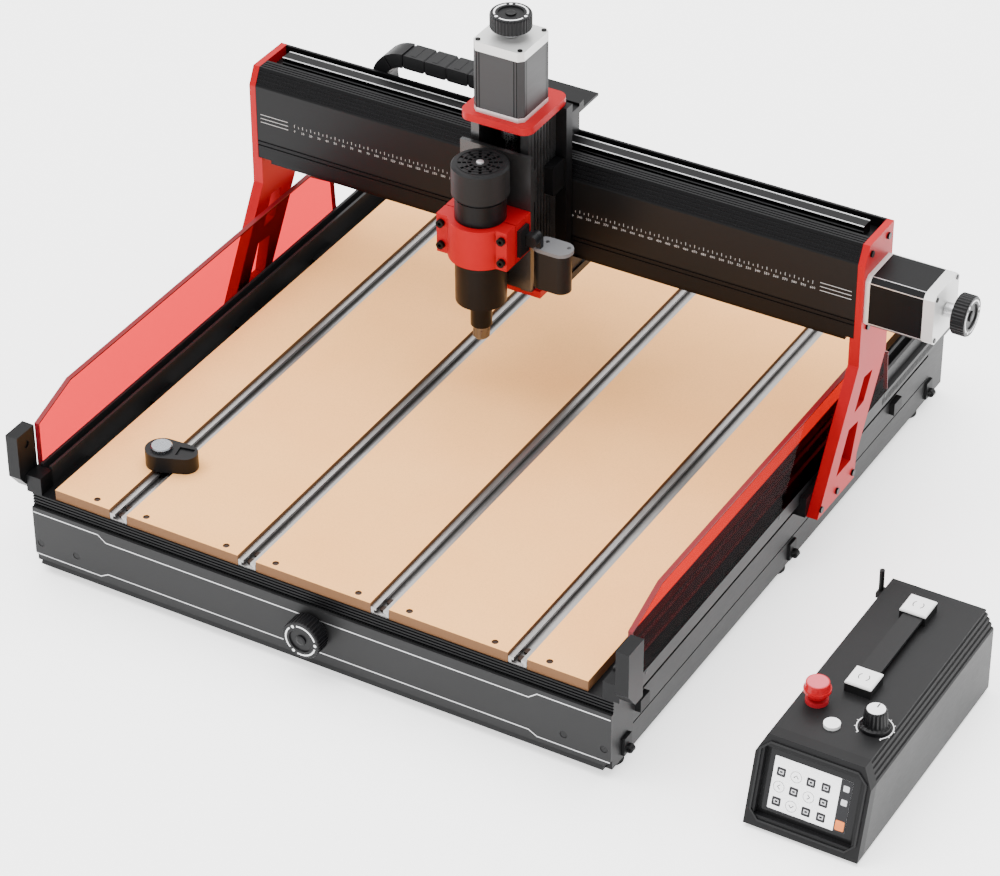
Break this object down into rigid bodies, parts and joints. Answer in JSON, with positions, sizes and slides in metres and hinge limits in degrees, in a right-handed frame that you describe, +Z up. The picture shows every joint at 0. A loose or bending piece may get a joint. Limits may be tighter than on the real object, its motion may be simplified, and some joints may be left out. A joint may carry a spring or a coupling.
{
  "type": "cnc router",
  "caption": "Desktop gantry router with slotted wooden bed, driven beam, carriage, spindle, tool setter, clear side panels and a separate control box.",
  "frame": {"origin": "middle of the whole footprint on the floor", "axes": "+X along the beam towards the control box, +Y from the front rail to the rear rail, +Z up"},
  "size_m": [0.9356, 0.756, 0.523],
  "materials": {
    "dark_anodised": "satin dark grey anodising",
    "red_clear": "transparent red acrylic",
    "bare_aluminium": "satin",
    "fibreboard": "medium density fibreboard",
    "bright_steel": "ground",
    "black_metal": "satin black anodising",
    "black_rubber": "matt",
    "black_plastic": "fine grained",
    "red_anodised": "satin red anodising",
    "black_steel": "black oxide",
    "grey_metal": "satin dark grey",
    "screen_glass": "lit display behind glass",
    "red_plastic": "gloss",
    "white_plastic": "gloss"
  },
  "bodies": {
    "base": {"front_rail": "dark_anodised", "front_cover": "dark_anodised", "rear_rail": "dark_anodised", "side_rails": "dark_anodised", "side_covers": "dark_anodised", "side_panels": "red_clear", "light_posts": "dark_anodised", "cross_plates": "bare_aluminium", "spoil_boards": "fibreboard", "t_tracks": "bare_aluminium", "base_screws": "bright_steel", "y_linear_rails": "bright_steel", "y_screw_supports": "black_metal", "y_motor": "black_metal", "rubber_feet": "black_rubber", "rail_fittings": "black_plastic"},
    "y_screw": {"y_ball_screw": "bright_steel", "y_handwheel": "black_plastic"},
    "gantry": {"gantry_leg_right": "red_anodised", "gantry_leg_left": "red_anodised", "gantry_arms": "black_metal", "y_bearing_blocks": "bright_steel", "gantry_bridge": "black_metal", "gantry_beam": "black_metal", "x_linear_rails": "bright_steel", "x_motor": "black_metal", "chain_tray": "black_metal", "gantry_screws": "black_steel", "chain_lower_run": "black_plastic"},
    "x_screw": {"x_ball_screw": "bright_steel", "x_handwheel": "black_plastic"},
    "chain_bend_body": {"chain_bend": "black_plastic"},
    "carriage": {"carriage_plate": "black_metal", "x_bearing_blocks": "bright_steel", "z_housing": "black_metal", "z_end_plates": "red_anodised", "z_motor": "black_metal", "carriage_brackets": "black_metal", "chain_upper_run": "black_plastic"},
    "z_screw": {"z_ball_screw": "bright_steel", "z_handwheel": "black_plastic"},
    "tool_head": {"z_slide_plate": "black_metal", "spindle_mount": "red_anodised", "spindle_clamp_cap": "red_anodised", "clamp_screws": "black_steel", "spindle_body": "grey_metal", "spindle_fan_cap": "black_plastic"},
    "rotor": {"spindle_shaft": "bright_steel", "collet_nut": "bright_steel"},
    "lamp": {"lamp_head": "black_plastic"},
    "setter": {"setter_body": "black_plastic"},
    "setter_plunger": {"setter_button": "bright_steel"},
    "control_box": {"box_case": "dark_anodised", "box_bezel": "black_plastic", "box_screen": "screen_glass", "box_base": "black_plastic", "box_handle": "black_plastic"},
    "estop": {"estop_button": "red_plastic"},
    "knob": {"speed_knob": "black_plastic"},
    "power": {"power_button": "white_plastic"}
  },
  "joints": [
    {"name": "y_axis", "type": "slide", "parent": "base", "child": "gantry", "axis": [0, 1, 0], "range_m": [-0.322, 0.168]},
    {"name": "y_screw_spin", "type": "hinge", "parent": "base", "child": "y_screw", "pos_m": [-0.11125, 0.002, 0.05], "axis": [0, 1, 0], "continuous": true},
    {"name": "x_axis", "type": "slide", "parent": "gantry", "child": "carriage", "axis": [1, 0, 0], "range_m": [-0.276, 0.302], "deforming": ["chain_upper_run"]},
    {"name": "x_screw_spin", "type": "hinge", "parent": "gantry", "child": "x_screw", "pos_m": [-0.11125, 0.128, 0.28], "axis": [1, 0, 0], "continuous": true},
    {"name": "z_axis", "type": "slide", "parent": "carriage", "child": "tool_head", "axis": [0, 0, 1], "range_m": [-0.062, 0.024]},
    {"name": "z_screw_spin", "type": "hinge", "parent": "carriage", "child": "z_screw", "pos_m": [-0.12425, 0.051, 0.3], "axis": [0, 0, 1], "continuous": true},
    {"name": "chain_roll", "type": "slide", "parent": "gantry", "child": "chain_bend_body", "axis": [1, 0, 0], "range_m": [-0.138, 0.151], "deforming": ["chain_lower_run"]},
    {"name": "spindle_spin", "type": "hinge", "parent": "tool_head", "child": "rotor", "pos_m": [-0.12425, -0.01, 0.2], "axis": [0, 0, 1], "continuous": true},
    {"name": "lamp_tilt", "type": "hinge", "parent": "tool_head", "child": "lamp", "pos_m": [-0.07425, 0.013, 0.303], "axis": [0, -1, 0], "range_deg": [0, 60]},
    {"name": "setter_slide", "type": "slide", "parent": "base", "child": "setter", "axis": [0, 1, 0], "range_m": [-0.045, 0.55]},
    {"name": "setter_press", "type": "slide", "parent": "setter", "child": "setter_plunger", "axis": [0, 0, -1], "range_m": [0, 0.003], "stiffness_N_per_m": 600},
    {"name": "box_place", "type": "slide", "parent": "base", "child": "control_box", "axis": [1, 0, 0], "range_m": [0, 0.2]},
    {"name": "estop_press", "type": "slide", "parent": "control_box", "child": "estop", "axis": [0, 0, -1], "range_m": [0, 0.004], "stiffness_N_per_m": 800},
    {"name": "speed_turn", "type": "hinge", "parent": "control_box", "child": "knob", "pos_m": [0.44175, -0.2716, 0.095], "axis": [0, 0, -1], "range_deg": [-150, 150]},
    {"name": "power_press", "type": "slide", "parent": "control_box", "child": "power", "axis": [0, 0, -1], "range_m": [0, 0.002], "stiffness_N_per_m": 800}
  ],
  "couplings": [
    {"joint": "y_screw_spin", "follows": "y_axis", "rad_per_m": 628.32},
    {"joint": "x_screw_spin", "follows": "x_axis", "rad_per_m": 628.32},
    {"joint": "z_screw_spin", "follows": "z_axis", "rad_per_m": 628.32},
    {"joint": "chain_roll", "follows": "x_axis", "ratio": 0.5}
  ]
}
